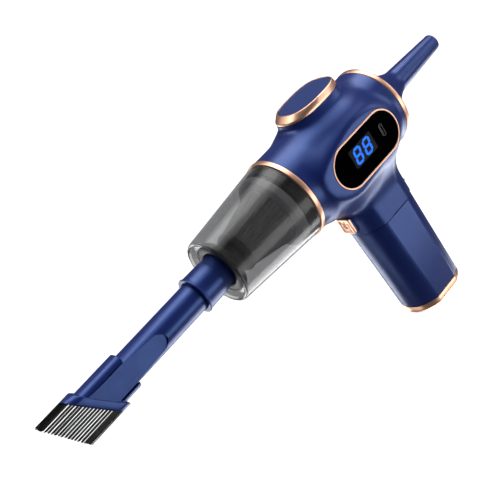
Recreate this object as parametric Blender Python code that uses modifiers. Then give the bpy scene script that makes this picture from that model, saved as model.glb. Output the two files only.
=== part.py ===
"""Cordless hand vacuum and blower, with its crevice tube, brush and blower nozzle fitted.

The air path runs along X: suction brush at -X, blower nozzle at +X. The handle stands on Z = 0 and
the display faces -Y. Metres, +Z up, origin under the handle's centre.
"""

import math

import bmesh
import bpy
from mathutils import Matrix, Vector

# Driving dimensions
AXIS_Z = 0.1375          # height of the air path's centreline over the handle's foot
BARREL_R = 0.0305        # outer radius of the motor barrel
TRIM_R = 0.0310          # outer radius of the front trim ring
FRONT_X = -0.0564        # front end face of the housing
REAR_X = 0.0376          # rear end face of the housing
WALL = 0.0022            # wall of the moulded housing
GAP = 0.0003             # clearance between pieces that meet
SEAM_Z = 0.0787          # joint between housing and handle sleeve
HOUSING_TOP = 0.1737     # flat top of the stub, under the top bezel
TOP_Z = 0.1787           # outer face of the top plate

# Handle section: a round nose in front, flat sides, and a rounded back behind a small step
NOSE_R = 0.0202
NOSE_CENTRE_X = -0.0034
HANDLE_HALF_Y = 0.0192
FLAT_REAR_X = 0.0112
BACK_R = 0.0187
BACK_CENTRE_X = 0.0073
BACK_START_X = 0.0128
HOUSING_PROUD = 0.0007   # how far the housing stands out over the sleeve
CAP_HIGH = 0.0068        # height of the metal cap under the handle
SLEEVE_WALL = 0.0018

# Top bezel and plate
BEZEL_CENTRE_X, BEZEL_HALF_X, BEZEL_HALF_Y = -0.0042, 0.0243, 0.0177
PLATE_CENTRE_X, PLATE_HALF_X, PLATE_HALF_Y = -0.0025, 0.0204, 0.0159
BEZEL_RIM = 0.0012       # width of the bezel's flat rim around the plate

# Side pads, and the display in the right-hand one
PAD_CENTRE_X = -0.0059
PAD_CENTRE_Z = 0.1352
PAD_Y = 0.0332           # outer face of the pad
PANEL_HALF_X = 0.0327    # trim around the display, outside
PANEL_HALF_Z = 0.0155
PANEL_TRIM = 0.0013      # width of that trim
LED_X, LED_Z = -0.0090, 0.1368
USB_X, USB_Z = 0.0123, 0.1365
USB_HALF_LONG, USB_HALF_SHORT = 0.00447, 0.00163

# Power button on the front of the handle
BUTTON_Z = 0.0898
BUTTON_FACE_X = -0.0310
BUTTON_HALF_Y, BUTTON_HALF_Z = 0.0067, 0.00645

# Dust cup
CUP_REAR_X = -0.0606
CUP_FRONT_X = -0.1285
CUP_REAR_R = 0.0302
CUP_FRONT_R = 0.0243
CUP_WALL = 0.0018

# Nozzle train in front of the cup
COLLAR_R = 0.0123
COLLAR_LIP_R = 0.0134
COLLAR_FRONT_X = -0.1495
TUBE_R = 0.0102
TUBE_WALL = 0.0014
TUBE_REAR_X = -0.1330
TUBE_FLAT_Y = 0.0057     # half thickness of the crevice end
FLAT_HALF_Z = 0.0086
FLAT_START_X = -0.1860   # the flats run forward from here
TIP_X = -0.2350          # middle of the slanted mouth
TIP_SLANT = math.radians(36)
SOCKET_REAR_X = -0.2120
SOCKET_HALF_Z = 0.0127
ROOT_X = -0.2415         # middle of the slanted face that the bristles leave
BAND_LENGTH = 0.0072
BAND_HALF_Y = 0.0072
BAND_HALF_Z = 0.0156
BRISTLE_TIP_X = -0.2650
BRISTLE_SLANT = math.radians(28.4)
TUFTS = 16               # tufts in each of the two rows
TUFT_PITCH = 0.00191
TUFT_THICK = 0.0012
ROW_Y = 0.0039           # the rows, from the brush's middle
ROW_HALF_Y = 0.0011
SLOT_HALF_Y, SLOT_HALF_Z = 0.0030, 0.0090    # suction slot between the rows

# Blower nozzle
BLOWER_TIP_X = 0.1167
BLOWER_TIP_R = 0.0061
BLOWER_NECK_X = 0.0685
BLOWER_NECK_R = 0.0088
BLOWER_BASE_R = 0.0235

# Screws
SCREW_R = 0.0023
SCREW_LENGTH = 0.0070
SCREW_SIDES = 20

ROUND = 36               # sides of a large turned piece
FINE = 24                # sides of a small turned piece
PAST = 0.010             # how far a cutter runs past what it cuts

BLUE = ((0.022, 0.045, 0.180, 1), 0.30, 0.0)
COPPER = ((0.76, 0.42, 0.27, 1), 0.22, 1.0)
SMOKE = ((0.12, 0.12, 0.12, 0.35), 0.05, 0.0)
BLACK = ((0.012, 0.012, 0.013, 1), 0.45, 0.0)
GLASS = ((0.004, 0.004, 0.005, 1), 0.06, 0.0)
GREY = ((0.42, 0.42, 0.43, 1), 0.4, 0.0)
STEEL = ((0.60, 0.60, 0.62, 1), 0.28, 1.0)
RUBBER = ((0.02, 0.02, 0.02, 1), 0.8, 0.0)
CLOTH = ((0.055, 0.055, 0.056, 1), 0.9, 0.0)
BOARD = ((0.02, 0.16, 0.07, 1), 0.5, 0.0)
CELL = ((0.10, 0.35, 0.20, 1), 0.4, 0.0)
LED = ((0.05, 0.30, 0.90, 1), 0.3, 0.0)


# ---------------------------------------------------------------- scene and helpers

def clear_scene():
    for old in list(bpy.data.objects):
        bpy.data.objects.remove(old)
    for name in ("hand_vacuum", "cutters"):
        collection = bpy.data.collections.new(name)
        bpy.context.scene.collection.children.link(collection)


def material(finish):
    colour, roughness, metallic = finish
    name = "finish_%02x%02x%02x_%d" % (*[int(255 * c) for c in colour[:3]], int(100 * roughness))
    found = bpy.data.materials.get(name)
    if found:
        return found
    made = bpy.data.materials.new(name)
    made.use_nodes = True
    shader = made.node_tree.nodes["Principled BSDF"]
    shader.inputs["Base Color"].default_value = colour
    shader.inputs["Roughness"].default_value = roughness
    shader.inputs["Metallic"].default_value = metallic
    shader.inputs["Alpha"].default_value = colour[3]
    made.diffuse_color = colour
    return made


def add_object(name, mesh, finish=None):
    """An object in the part's collection, or in the cutters' when it has no finish."""
    obj = bpy.data.objects.new(name, mesh)
    if finish is None:
        bpy.data.collections["cutters"].objects.link(obj)
        obj.hide_render = True
        obj.display_type = "WIRE"
    else:
        bpy.data.collections["hand_vacuum"].objects.link(obj)
        mesh.materials.append(material(finish))
        mesh.shade_smooth()
        mesh.set_sharp_from_angle(angle=math.radians(32))
    return obj


def mesh_from(name, build):
    mesh = bpy.data.meshes.new(name)
    shape = bmesh.new()
    build(shape)
    bmesh.ops.recalc_face_normals(shape, faces=shape.faces)
    shape.to_mesh(mesh)
    shape.free()
    return mesh


def box(name, low, high, finish=None, bevel=0.0, segments=2):
    """An axis-aligned box between two corners, with all its edges rounded by bevel."""
    low, high = Vector(low), Vector(high)

    def build(shape):
        bmesh.ops.create_cube(shape, size=1.0)
        size = high - low
        bmesh.ops.scale(shape, vec=size, verts=shape.verts)

    obj = add_object(name, mesh_from(name, build), finish)
    obj.location = (low + high) / 2
    if bevel:
        rounding = obj.modifiers.new("edges", "BEVEL")
        rounding.width = bevel
        rounding.segments = segments
        rounding.limit_method = "ANGLE"
    return obj


def rod(name, radius, start, end, finish=None, sides=FINE):
    """A solid cylinder between two points."""
    start, end = Vector(start), Vector(end)
    along = end - start

    def build(shape):
        bmesh.ops.create_cone(shape, cap_ends=True, segments=sides, radius1=radius,
                              radius2=radius, depth=along.length)

    obj = add_object(name, mesh_from(name, build), finish)
    obj.location = (start + end) / 2
    obj.rotation_euler = along.to_track_quat("Z", "Y").to_euler()
    return obj


def turned(name, profile, finish=None, sides=ROUND):
    """A solid of revolution about the air path. The profile lists (radius, x), down the outer side
    from +X to -X and back up the inner side. It is a loop, less any edge that lies on the axis."""
    mesh = bpy.data.meshes.new(name)
    count = len(profile)
    pairs = [(i, (i + 1) % count) for i in range(count)]
    edges = [(i, j) for i, j in pairs if profile[i][0] > 0 or profile[j][0] > 0]
    mesh.from_pydata([(radius, 0.0, along) for radius, along in profile], edges, [])
    obj = add_object(name, mesh, finish)
    obj.location = (0, 0, AXIS_Z)
    obj.rotation_euler = (0, math.pi / 2, 0)
    screw = obj.modifiers.new("turn", "SCREW")
    screw.steps = screw.render_steps = sides
    screw.use_merge_vertices = True
    screw.merge_threshold = 1e-5
    screw.use_smooth_shade = True
    return obj


def loft(name, sections, finish=None):
    """A closed solid through outlines with the same number of points, from the lowest to the highest."""

    def build(shape):
        rings = [[shape.verts.new(point) for point in section] for section in sections]
        count = len(rings[0])
        for low, high in zip(rings, rings[1:]):
            for i in range(count):
                j = (i + 1) % count
                shape.faces.new((low[i], low[j], high[j], high[i]))
        shape.faces.new(list(reversed(rings[0])))
        shape.faces.new(rings[-1])

    return add_object(name, mesh_from(name, build), finish)


def boolean(obj, other, operation="DIFFERENCE"):
    step = obj.modifiers.new(operation.lower(), "BOOLEAN")
    step.operation = operation
    step.object = other
    step.solver = "EXACT"


# ---------------------------------------------------------------- outlines

def arc(centre_x, radius, start, end, steps):
    """Points of a circular arc in the XY plane, angles in radians."""
    points = []
    for i in range(steps + 1):
        angle = start + (end - start) * i / steps
        points.append((centre_x + radius * math.cos(angle), radius * math.sin(angle)))
    return points


def handle_outline(inset=0.0, steps=7):
    """The handle's section as (x, y) points, anticlockwise from above, moved inwards by inset."""
    half_y, nose_r, back_r = HANDLE_HALF_Y - inset, NOSE_R - inset, BACK_R - inset
    back_turn = math.acos((BACK_START_X - BACK_CENTRE_X) / back_r)
    nose_turn = math.pi - math.asin(half_y / nose_r)
    back = arc(BACK_CENTRE_X, back_r, -back_turn, back_turn, 2 * steps)
    nose = arc(NOSE_CENTRE_X, nose_r, nose_turn, 2 * math.pi - nose_turn, 2 * steps)
    return back + [(FLAT_REAR_X, half_y)] + nose + [(FLAT_REAR_X, -half_y)]


def oval_outline(centre_x, half_x, half_y, power=2.7, steps=40):
    """A rounded oval between an ellipse and a rectangle."""
    points = []
    for i in range(steps):
        angle = 2 * math.pi * i / steps
        c, s = math.cos(angle), math.sin(angle)
        points.append((centre_x + half_x * math.copysign(abs(c) ** (2 / power), c),
                       half_y * math.copysign(abs(s) ** (2 / power), s)))
    return points


def slot_outline(centre_x, centre_z, half_x, half_z, steps=12):
    """A slot with round ends in the XZ plane."""
    points = []
    straight = half_x - half_z
    for side in (1, -1):
        for i in range(steps + 1):
            angle = math.pi * (i / steps - 0.5)
            points.append((centre_x + side * (straight + half_z * math.cos(angle)),
                           centre_z + side * half_z * math.sin(angle)))
    return points


def upright(name, outline, low, high, finish=None):
    """A prism along Z."""
    return loft(name, [[(x, y, z) for x, y in outline] for z in (low, high)], finish)


def sideways(name, outline, low, high, finish=None):
    """A prism along Y, from an outline in the XZ plane."""
    return loft(name, [[(x, y, z) for x, z in outline] for y in (low, high)], finish)


# ---------------------------------------------------------------- housing

CORE_SECTIONS = (            # height over the axis, front x, rear x, half width
    (-0.0430, -0.0225, 0.0250, 0.0180),
    (-0.0340, -0.0270, 0.0275, 0.0215),
    (-0.0260, -0.0330, 0.0295, 0.0275),
    (-0.0180, -0.0385, 0.0310, 0.0322),
    (0.0000, -0.0430, 0.0318, 0.0332),
    (0.0140, -0.0385, 0.0300, 0.0318),
    (0.0220, -0.0338, 0.0265, 0.0268),
    (0.0290, -0.0305, 0.0232, 0.0213),
)
PAD_SECTIONS = (             # distance from the middle plane, how far it reaches past the display's trim
    (0.0120, 0.0120),
    (0.0260, 0.0054),
    (PAD_Y - 0.0010, 0.0026),
    (PAD_Y, 0.0016),
)
FORM_PAST = 0.014            # how far the form runs past the housing's ends


def core(name):
    """The column that runs up from the handle, swells into the side pads and ends in the stub."""
    sections = []
    for rise, front, rear, half_y in CORE_SECTIONS:
        outline = oval_outline((front + rear) / 2, (rear - front) / 2, half_y)
        sections.append([(x, y, AXIS_Z + rise) for x, y in outline])
    for height in (HOUSING_TOP - 0.002, HOUSING_TOP + FORM_PAST):
        outline = oval_outline(BEZEL_CENTRE_X, BEZEL_HALF_X + 0.0003, BEZEL_HALF_Y + 0.0003)
        sections.append([(x, y, height) for x, y in outline])
    return loft(name, sections)


def side_pad(name, side):
    """A tapered boss on one side of the barrel, whose flat face carries the display."""
    sections = []
    for depth, grow in PAD_SECTIONS:
        outline = slot_outline(PAD_CENTRE_X, PAD_CENTRE_Z, PANEL_HALF_X + grow, PANEL_HALF_Z + grow)
        sections.append([(x, side * depth, z) for x, z in outline])
    return loft(name, sections)


def housing_form():
    """The whole outer form of the housing, blended by a voxel remesh and smoothing. It runs past the
    housing's ends, which are cut flat afterwards."""
    barrel_r = BARREL_R + 0.0001
    form = turned("housing_form", [(0, REAR_X + FORM_PAST), (barrel_r, REAR_X + FORM_PAST),
                                   (barrel_r, FRONT_X - FORM_PAST), (0, FRONT_X - FORM_PAST)])
    column = upright("housing_column", handle_outline(-HOUSING_PROUD), SEAM_Z - FORM_PAST, AXIS_Z)
    for piece in (column, core("housing_core"), side_pad("housing_pad_right", -1),
                  side_pad("housing_pad_left", 1)):
        boolean(form, piece, "UNION")
    voxels = form.modifiers.new("voxels", "REMESH")
    voxels.mode = "VOXEL"
    voxels.voxel_size = 0.0022
    smooth = form.modifiers.new("blend", "SMOOTH")
    smooth.factor = 0.5
    smooth.iterations = 8
    fewer = form.modifiers.new("fewer", "DECIMATE")
    fewer.ratio = 0.15
    return form


def housing_cavity():
    """The hollow inside the housing."""
    bore_r = BARREL_R - WALL
    cavity = turned("housing_cavity", [(0, REAR_X + PAST), (bore_r, REAR_X + PAST),
                                       (bore_r, FRONT_X - PAST), (0, FRONT_X - PAST)])
    column = upright("column_cavity", handle_outline(WALL - HOUSING_PROUD), SEAM_Z - PAST, AXIS_Z)
    stub_wall = 0.0040
    stub = upright("stub_cavity", oval_outline(BEZEL_CENTRE_X, BEZEL_HALF_X - stub_wall,
                                               BEZEL_HALF_Y - stub_wall), AXIS_Z + 0.01, HOUSING_TOP - WALL)
    boolean(cavity, column, "UNION")
    boolean(cavity, stub, "UNION")
    return cavity


# Where the shell screws sit on the left-hand side: x, z and the depth of the bottom of their recess
SHELL_SCREWS = ((-0.0040, 0.0862, 0.0175), (0.0070, 0.0955, 0.0175),
                (-0.0130, 0.1640, 0.0195), (0.0100, 0.1640, 0.0195))


def build_housing():
    form = housing_form()
    cavity = housing_cavity()
    side = PAD_Y + PAST
    body = box("housing_ends", (FRONT_X, -side, SEAM_Z + GAP / 2), (REAR_X, side, HOUSING_TOP))
    ledge = 0.0020
    display_hole = sideways("display_hole", slot_outline(PAD_CENTRE_X, PAD_CENTRE_Z, PANEL_HALF_X + GAP,
                                                         PANEL_HALF_Z + GAP), -side, -PAD_Y + 0.0026)
    display_well = sideways("display_well", slot_outline(PAD_CENTRE_X, PAD_CENTRE_Z, PANEL_HALF_X - ledge,
                                                         PANEL_HALF_Z - ledge), -side, -0.0185)
    button_hole = box("button_hole", (-0.040, -BUTTON_HALF_Y - GAP, BUTTON_Z - BUTTON_HALF_Z - GAP),
                      (-0.012, BUTTON_HALF_Y + GAP, BUTTON_Z + BUTTON_HALF_Z + GAP))
    for name, low_y, high_y in (("housing_right", -side, -GAP / 2), ("housing_left", GAP / 2, side)):
        half = box(name, (FRONT_X - PAST, low_y, SEAM_Z - PAST), (REAR_X + PAST, high_y, TOP_Z), BLUE)
        boolean(half, form, "INTERSECT")
        boolean(half, body, "INTERSECT")
        for cutter in (cavity, button_hole):
            boolean(half, cutter)
        if name == "housing_right":
            boolean(half, display_hole)
            boolean(half, display_well)
        else:
            for i, (x, z, _) in enumerate(SHELL_SCREWS):
                boolean(half, rod(f"shell_screw_hole_{i + 1}", SCREW_R + GAP, (x, 0.005, z), (x, side, z),
                                  sides=SCREW_SIDES))


def screw(name, head, foot):
    """A short screw with a crossed drive in its head."""
    head, foot = Vector(head), Vector(foot)
    along = (head - foot).normalized()
    made = rod(name, SCREW_R, foot, head, STEEL, SCREW_SIDES)
    for width, length in ((0.0008, 0.0028), (0.0028, 0.0008)):
        drive = box(name + "_drive", (-width / 2, -length / 2, -0.0010), (width / 2, length / 2, 0.0010))
        drive.location = head
        drive.rotation_euler = along.to_track_quat("Z", "Y").to_euler()
        boolean(made, drive)


def build_screws():
    for i, (x, z, outer) in enumerate(SHELL_SCREWS):
        screw(f"shell_screw_{i + 1}", (x, outer, z), (x, outer - SCREW_LENGTH, z))


# ---------------------------------------------------------------- handle

def build_handle():
    sleeve = upright("handle_sleeve", handle_outline(), CAP_HIGH + GAP, SEAM_Z - GAP / 2, BLUE)
    boolean(sleeve, upright("sleeve_cavity", handle_outline(SLEEVE_WALL), -PAST, SEAM_Z + PAST))

    levels = ((0.0, 0.0026), (0.0008, 0.0013), (0.0022, 0.0003), (0.0030, 0.0), (CAP_HIGH, 0.0))
    cap = loft("base_cap", [[(x, y, z) for x, y in handle_outline(inset)] for z, inset in levels], COPPER)
    boolean(cap, upright("cap_recess", handle_outline(0.0035), 0.0032, 0.02))
    for i, x in enumerate((-0.0130, 0.0150)):
        boolean(cap, rod(f"cap_screw_hole_{i + 1}", SCREW_R + GAP, (x, 0, -PAST), (x, 0, 0.02),
                         sides=SCREW_SIDES))
        screw(f"base_screw_{i + 1}", (x, 0, 0.0008), (x, 0, 0.0056))

    cell_low, cell_high, cell_r, cell_sides = 0.0093, 0.0743, 0.0092, 28
    cells = (("battery_cell_front", -0.0098), ("battery_cell_rear", 0.0098))
    for name, x in cells:
        rod(name, cell_r, (x, 0, cell_low), (x, 0, cell_high), CELL, cell_sides)
    holders = (("battery_holder_lower", CAP_HIGH, 0.0155), ("battery_holder_upper", 0.0680, 0.0765))
    for name, low, high in holders:
        holder = upright(name, handle_outline(0.0032), low, high, BLACK)
        for _, x in cells:
            boolean(holder, rod(name + "_pocket", cell_r + GAP, (x, 0, cell_low - GAP),
                                (x, 0, cell_high + GAP), sides=cell_sides))


# ---------------------------------------------------------------- trims, top and display

def build_trims():
    front, back = FRONT_X - GAP, CUP_REAR_X + GAP
    turned("front_trim_ring", [(TRIM_R - 0.0005, front), (TRIM_R, front - 0.0006), (TRIM_R, back + 0.0006),
                               (TRIM_R - 0.0005, back), (0.0272, back), (0.0272, front)], COPPER)
    near, far = REAR_X + GAP, REAR_X + 0.0043
    turned("rear_trim_ring", [(0.0298, far), (0.0306, far - 0.0008), (0.0307, near + 0.0006), (0.0303, near),
                              (0.0273, near), (0.0273, far)], COPPER)

    rim = HOUSING_TOP + GAP
    levels = ((rim, BEZEL_CENTRE_X, BEZEL_HALF_X - GAP, BEZEL_HALF_Y - GAP),
              (rim + 0.0004, BEZEL_CENTRE_X, BEZEL_HALF_X, BEZEL_HALF_Y),
              (rim + 0.0015, BEZEL_CENTRE_X, BEZEL_HALF_X, BEZEL_HALF_Y),
              (TOP_Z, PLATE_CENTRE_X, PLATE_HALF_X + BEZEL_RIM, PLATE_HALF_Y + BEZEL_RIM))
    bezel = loft("top_bezel", [[(x, y, z) for x, y in oval_outline(centre, half_x, half_y)]
                               for z, centre, half_x, half_y in levels], COPPER)
    hole = oval_outline(PLATE_CENTRE_X, PLATE_HALF_X + GAP, PLATE_HALF_Y + GAP)
    boolean(bezel, upright("plate_hole", hole, rim - PAST, rim + PAST))
    upright("top_plate", oval_outline(PLATE_CENTRE_X, PLATE_HALF_X, PLATE_HALF_Y), rim, TOP_Z - 0.0003, BLUE)


def build_display():
    face = -PAD_Y - 0.0002
    inner_x, inner_z = PANEL_HALF_X - PANEL_TRIM, PANEL_HALF_Z - PANEL_TRIM
    trim = sideways("display_bezel", slot_outline(PAD_CENTRE_X, PAD_CENTRE_Z, PANEL_HALF_X, PANEL_HALF_Z),
                    face, -PAD_Y + 0.0023, COPPER)
    boolean(trim, sideways("bezel_hole", slot_outline(PAD_CENTRE_X, PAD_CENTRE_Z, inner_x, inner_z),
                           -0.05, -0.01))
    pane = slot_outline(PAD_CENTRE_X, PAD_CENTRE_Z, inner_x - GAP, inner_z - GAP)
    window = sideways("display_window", pane, face + 0.0002, -PAD_Y + 0.0020, GLASS)

    def port_slot(name, grow, low, high, finish=None, steps=8):
        """A slot with its long side upright, at the charging port."""
        outline = slot_outline(USB_Z, USB_X, USB_HALF_LONG + grow, USB_HALF_SHORT + grow, steps)
        return loft(name, [[(x, y, z) for z, x in outline] for y in (low, high)], finish)

    boolean(window, port_slot("usb_opening", GAP, -0.05, -0.02))
    port = port_slot("usb_port", 0.0, -PAD_Y + 0.0004, -0.0262, STEEL)
    boolean(port, port_slot("usb_mouth", -0.0003, -0.05, -0.0270))
    box("usb_tongue", (USB_X - 0.00035, -PAD_Y + 0.0010, USB_Z - 0.0033),
        (USB_X + 0.00035, -0.0274, USB_Z + 0.0033), BLACK)

    box("display_module", (LED_X - 0.0115, -PAD_Y + 0.0024, LED_Z - 0.00665),
        (LED_X + 0.0115, -0.0275, LED_Z + 0.00665), LED)
    box("control_board", (-0.0200, -0.0258, PAD_CENTRE_Z - 0.0085), (0.0182, -0.0246, PAD_CENTRE_Z + 0.0100),
        BOARD)


def build_button():
    box("power_button", (BUTTON_FACE_X, -BUTTON_HALF_Y, BUTTON_Z - BUTTON_HALF_Z),
        (-0.0205, BUTTON_HALF_Y, BUTTON_Z + BUTTON_HALF_Z), COPPER, bevel=0.0011)
    box("power_switch", (-0.0178, -0.0030, BUTTON_Z - 0.0030), (-0.0138, 0.0030, BUTTON_Z + 0.0030), BLACK,
        bevel=0.0004, segments=1)
    box("switch_board", (-0.0135, -0.0080, BUTTON_Z - 0.0080), (-0.0123, 0.0080, BUTTON_Z + 0.0080), BOARD)


# ---------------------------------------------------------------- motor and air path in the housing

INNER_R = BARREL_R - WALL - GAP      # what fits inside the barrel


def build_motor():
    turned("motor_can", [(0.0158, 0.0140), (0.0170, 0.0128), (0.0170, -0.0190), (0.0158, -0.0200),
                         (0.0020, -0.0200), (0.0020, 0.0140)], STEEL, sides=FINE)
    mount = turned("motor_mount", [(INNER_R, 0.0060), (INNER_R, -0.0060), (0.0173, -0.0060),
                                   (0.0173, 0.0060)], RUBBER, sides=FINE)
    boolean(mount, box("mount_flat", (-0.02, -0.04, AXIS_Z - 0.04), (0.02, -0.0235, AXIS_Z + 0.04)))
    rod("motor_shaft", 0.0016, (-0.0390, 0, AXIS_Z), (0.0170, 0, AXIS_Z), STEEL, 20)

    hub = turned("impeller", [(0.0195, -0.0245), (0.0195, -0.0255), (0.0080, -0.0300), (0.0050, -0.0380),
                              (0.0019, -0.0380), (0.0019, -0.0245)], GREY, sides=FINE)
    blades = 9

    def build(shape):
        for i in range(blades):
            made = bmesh.ops.create_cube(shape, size=1.0)["verts"]
            bmesh.ops.scale(shape, vec=(0.0105, 0.0011, 0.0140), verts=made)
            bmesh.ops.rotate(shape, cent=(0, 0, 0), matrix=Matrix.Rotation(math.radians(34), 3, "X"),
                             verts=made)
            bmesh.ops.translate(shape, vec=(-0.0302, 0, 0.0118), verts=made)
            bmesh.ops.rotate(shape, cent=(0, 0, 0), matrix=Matrix.Rotation(2 * math.pi * i / blades, 3, "X"),
                             verts=made)

    fan = add_object("impeller_blades", mesh_from("impeller_blades", build))
    fan.location = (0, 0, AXIS_Z)
    boolean(hub, fan, "UNION")

    turned("fan_shroud", [(INNER_R, -0.0215), (INNER_R, -0.0450), (0.0100, -0.0450), (0.0100, -0.0436),
                          (0.0236, -0.0420), (0.0240, -0.0215)], BLACK, sides=FINE)


def ring_of_holes(name, radius, hole_r, count, low_x, high_x, sides=8):
    """Round holes through a bulkhead, evenly spaced about the air path."""

    def build(shape):
        for i in range(count):
            made = bmesh.ops.create_cone(shape, cap_ends=True, segments=sides, radius1=hole_r,
                                         radius2=hole_r, depth=high_x - low_x)["verts"]
            bmesh.ops.rotate(shape, cent=(0, 0, 0), matrix=Matrix.Rotation(math.pi / 2, 3, "Y"), verts=made)
            bmesh.ops.translate(shape, vec=((low_x + high_x) / 2, 0, radius), verts=made)
            bmesh.ops.rotate(shape, cent=(0, 0, 0), matrix=Matrix.Rotation(2 * math.pi * i / count, 3, "X"),
                             verts=made)

    holes = add_object(name, mesh_from(name, build))
    holes.location = (0, 0, AXIS_Z)
    return holes


def build_ducts():
    inlet = turned("inlet_bulkhead", [(INNER_R, -0.0454), (INNER_R, -0.0556), (0.0260, -0.0560),
                                      (0.0260, -0.0680), (0.0240, -0.0680), (0.0240, -0.0490),
                                      (0, -0.0490), (0, -0.0454)], BLACK, sides=FINE)
    boolean(inlet, ring_of_holes("inlet_holes_inner", 0.0070, 0.0024, 6, -0.060, -0.040))
    boolean(inlet, ring_of_holes("inlet_holes_outer", 0.0155, 0.0034, 9, -0.060, -0.040))

    end = REAR_X + 0.0036
    outlet = turned("exhaust_outlet", [(0.0270, end), (0.0270, 0.0370), (INNER_R, 0.0365), (INNER_R, 0.0190),
                                       (0, 0.0190), (0, 0.0215), (0.0190, 0.0215), (0.0190, 0.0295),
                                       (0.0240, 0.0295), (0.0240, end)], BLUE, sides=FINE)
    boolean(outlet, ring_of_holes("outlet_holes_inner", 0.0065, 0.0024, 6, 0.015, 0.026))
    boolean(outlet, ring_of_holes("outlet_holes_outer", 0.0140, 0.0034, 8, 0.015, 0.026))
    turned("outlet_seal", [(0.0236, 0.0316), (0.0236, 0.0299), (0.0194, 0.0299), (0.0194, 0.0316)], RUBBER,
           sides=FINE)


# ---------------------------------------------------------------- cup and filter

def cup_radius(x):
    share = (x - CUP_REAR_X) / (CUP_FRONT_X - CUP_REAR_X)
    return CUP_REAR_R + (CUP_FRONT_R - CUP_REAR_R) * share


def build_cup():
    near = CUP_FRONT_X + 0.0030
    outer = [(CUP_REAR_R, CUP_REAR_X), (cup_radius(near), near), (cup_radius(near) - 0.0004, near - 0.0018),
             (CUP_FRONT_R - 0.0012, CUP_FRONT_X), (CUP_FRONT_R - 0.0026, CUP_FRONT_X + 0.0004),
             (0.0165, CUP_FRONT_X + 0.0040), (0.0127, CUP_FRONT_X + 0.0045)]
    inner = [(0.0127, CUP_FRONT_X + 0.0063), (0.0168, CUP_FRONT_X + 0.0060),
             (CUP_FRONT_R - 0.0034, CUP_FRONT_X + 0.0024), (cup_radius(near) - CUP_WALL, near + 0.0012),
             (CUP_REAR_R - CUP_WALL, CUP_REAR_X)]
    turned("dust_cup", outer + inner, SMOKE)
    turned("cup_seal", [(0.0279, -0.0625), (0.0276, -0.0660), (0.0263, -0.0660), (0.0263, -0.0625)], RUBBER,
           sides=FINE)


def build_filter():
    turned("filter_frame", [(0.0237, -0.0620), (0.0237, -0.0683), (0.0266, -0.0683), (0.0266, -0.0738),
                            (0.0218, -0.0745), (0.0190, -0.0745), (0.0190, -0.0730), (0.0222, -0.0730),
                            (0.0222, -0.0620)], GREY, sides=FINE)
    turned("filter_element", [(0.0212, -0.0748), (0.0140, -0.1075), (0.0115, -0.1075), (0.0185, -0.0748)],
           CLOTH, sides=FINE)
    turned("filter_cap", [(0.0, -0.1078), (0.0146, -0.1078), (0.0146, -0.1105), (0.0120, -0.1130),
                          (0.0, -0.1130)], BLACK, sides=FINE)


# ---------------------------------------------------------------- nozzle train

def build_collar():
    lip = COLLAR_FRONT_X + 0.0025
    turned("inlet_collar", [(0.0150, -0.1200), (0.0150, -0.1219), (0.0114, -0.1219), (0.0114, -0.1310),
                            (COLLAR_R - 0.0004, -0.1330), (COLLAR_R, lip + 0.0008), (COLLAR_LIP_R, lip),
                            (COLLAR_LIP_R, COLLAR_FRONT_X + 0.0006), (COLLAR_LIP_R - 0.0005, COLLAR_FRONT_X),
                            (TUBE_R + GAP, COLLAR_FRONT_X), (TUBE_R + GAP, TUBE_REAR_X + GAP),
                            (0.0090, TUBE_REAR_X + GAP), (0.0090, -0.1200)], BLUE, sides=FINE)


def slanted_cutter(name, x, forward=True, reach=0.08, slant=TIP_SLANT):
    """A block with one face on the slanted plane through x on the air path, removing what lies forward
    or behind it. The plane's upper edge reaches further forward."""
    cutter = box(name, (-reach / 2,) * 3, (reach / 2,) * 3)
    cutter.rotation_euler = (0, -slant, 0)
    out = Matrix.Rotation(-slant, 3, "Y") @ Vector((-1, 0, 0))
    cutter.location = Vector((x, 0, AXIS_Z)) + out * (reach / 2 if forward else -reach / 2)
    return cutter


def build_tube():
    long = TIP_X - 0.025
    tube = turned("crevice_tube", [(0, TUBE_REAR_X), (TUBE_R - 0.0004, TUBE_REAR_X),
                                   (TUBE_R, TUBE_REAR_X - 0.0010), (TUBE_R, long), (0, long)],
                  BLUE, sides=FINE)
    bore_r = TUBE_R - TUBE_WALL
    bore = turned("tube_bore", [(0, TUBE_REAR_X + PAST), (bore_r, TUBE_REAR_X + PAST),
                                (bore_r, FLAT_START_X + 0.0080), (0.0042, FLAT_START_X + 0.0010),
                                (0, FLAT_START_X + 0.0010)], sides=FINE)
    for side in (-1, 1):
        half_length = 0.0500
        outline = slot_outline(FLAT_START_X - half_length, AXIS_Z, half_length, FLAT_HALF_Z + 0.0001)
        boolean(tube, sideways("tube_flat", outline, side * TUBE_FLAT_Y, side * 0.02))
    boolean(tube, bore)
    slot_y, slot_z = TUBE_FLAT_Y - TUBE_WALL, FLAT_HALF_Z - TUBE_WALL
    boolean(tube, box("tube_slot", (long - PAST, -slot_y, AXIS_Z - slot_z),
                      (FLAT_START_X + 0.0060, slot_y, AXIS_Z + slot_z)))
    boolean(tube, slanted_cutter("tube_tip", TIP_X))


def rounded_bar(name, half_y, half_z, low_x, high_x, corner, finish=None):
    """A bar along X with rounded long edges."""
    outline = []
    for quarter in range(4):
        side_y = 1 if quarter in (0, 3) else -1
        side_z = 1 if quarter in (0, 1) else -1
        for i in range(5):
            angle = math.pi / 2 * (quarter + i / 4)
            outline.append((side_y * (half_y - corner) + corner * math.cos(angle),
                            AXIS_Z + side_z * (half_z - corner) + corner * math.sin(angle)))
    return loft(name, [[(x, y, z) for y, z in outline] for x in (low_x, high_x)], finish)


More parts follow.
